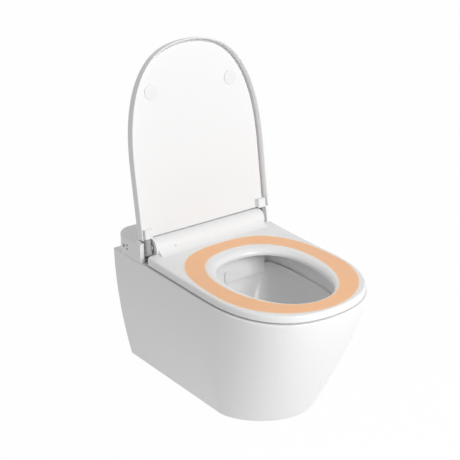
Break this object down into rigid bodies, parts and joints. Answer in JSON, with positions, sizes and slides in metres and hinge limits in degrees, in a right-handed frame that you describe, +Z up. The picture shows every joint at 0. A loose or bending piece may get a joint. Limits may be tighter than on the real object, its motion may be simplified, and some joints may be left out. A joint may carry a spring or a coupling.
{
  "type": "wall-hung shower toilet",
  "caption": "Wall-hung ceramic toilet with soft-close lid, heated seat, a wash unit behind the seat with a sliding spray wand, and side push buttons.",
  "frame": {"origin": "on the wall plane, midway between the two wall fixings", "axes": "+Y into the wall, +Z up, +X to the right of someone who faces the wall"},
  "size_m": [0.3754, 0.5835, 0.7899],
  "materials": {
    "sanitary_ceramic": "white glaze, glossy",
    "white_shell": "white, glossy",
    "heated_band": "pale orange, satin gloss",
    "hinge_grey": "grey, satin",
    "steel": "zinc plated, satin",
    "rubber_grey": "matt",
    "pad_white": "soft white, matt",
    "inner_plastic": "pale grey, matt",
    "dark_plastic": "near black, satin",
    "button_grey": "grey, satin",
    "brass_fitting": "turned",
    "circuit_green": "green solder resist",
    "foil": "printed heating film",
    "lamp_clear": "translucent"
  },
  "bodies": {
    "pan": {"ceramic_pan": "sanitary_ceramic", "fixing_sleeves": "inner_plastic", "clamp_screws": "steel", "flush_inlet_seal": "rubber_grey", "hinge_brackets": "steel", "hinge_pins": "steel", "mounting_plate": "steel", "seat_bolts": "steel", "seat_bolt_washers": "rubber_grey", "seat_bolt_nuts": "steel", "housing_cover": "white_shell", "housing_tray": "inner_plastic", "wand_guide": "inner_plastic", "wand_motor": "steel", "motor_cradle": "inner_plastic", "nozzle_shield": "white_shell", "night_light": "lamp_clear", "well_cover": "white_shell", "instant_heater": "inner_plastic", "solenoid_valve": "dark_plastic", "water_pump": "dark_plastic", "valve_hose": "rubber_grey", "pump_hose": "rubber_grey", "supply_connector": "brass_fitting", "power_gland": "dark_plastic", "control_board": "circuit_green", "board_posts": "inner_plastic", "button_board": "circuit_green"},
    "lid": {"lid_shell": "white_shell", "lid_panel": "white_shell", "lid_knuckles": "hinge_grey", "lid_buffers": "pad_white"},
    "seat": {"seat_top": "white_shell", "seat_base": "white_shell", "heated_zone": "heated_band", "heating_foil": "foil", "presence_sensor": "dark_plastic", "seat_buffers": "pad_white", "soft_close_dampers": "hinge_grey"},
    "wand": {"wand_tube": "steel", "wand_head": "white_shell", "wand_rack": "dark_plastic", "wand_cover": "white_shell"},
    "pinion": {"drive_pinion": "dark_plastic"},
    "power_key": {"power_button": "button_grey"},
    "wash_key": {"wash_button": "button_grey"},
    "stop_key": {"stop_button": "button_grey"}
  },
  "joints": [
    {"name": "lid_hinge", "type": "hinge", "parent": "pan", "child": "lid", "pos_m": [0, -0.121, 0.127], "axis": [1, 0, 0], "range_deg": [0, 98.9]},
    {"name": "seat_hinge", "type": "hinge", "parent": "pan", "child": "seat", "pos_m": [0, -0.121, 0.127], "axis": [1, 0, 0], "range_deg": [-96, 0]},
    {"name": "wand_slide", "type": "slide", "parent": "pan", "child": "wand", "axis": [0, -0.9563, -0.2924], "range_m": [0, 0.095]},
    {"name": "pinion_spin", "type": "hinge", "parent": "pan", "child": "pinion", "pos_m": [0, -0.1857, 0.06771], "axis": [1, 0, 0], "range_deg": [-727, 1]},
    {"name": "power_press", "type": "slide", "parent": "pan", "child": "power_key", "axis": [1, 0, 0], "range_m": [0, 0.0012], "stiffness_N_per_m": 300, "springref_m": -0.001},
    {"name": "wash_press", "type": "slide", "parent": "pan", "child": "wash_key", "axis": [1, 0, 0], "range_m": [0, 0.0012], "stiffness_N_per_m": 300, "springref_m": -0.001},
    {"name": "stop_press", "type": "slide", "parent": "pan", "child": "stop_key", "axis": [1, 0, 0], "range_m": [0, 0.0012], "stiffness_N_per_m": 300, "springref_m": -0.001}
  ],
  "couplings": [
    {"joint": "pinion_spin", "follows": "wand_slide", "rad_per_m": -133.33}
  ]
}
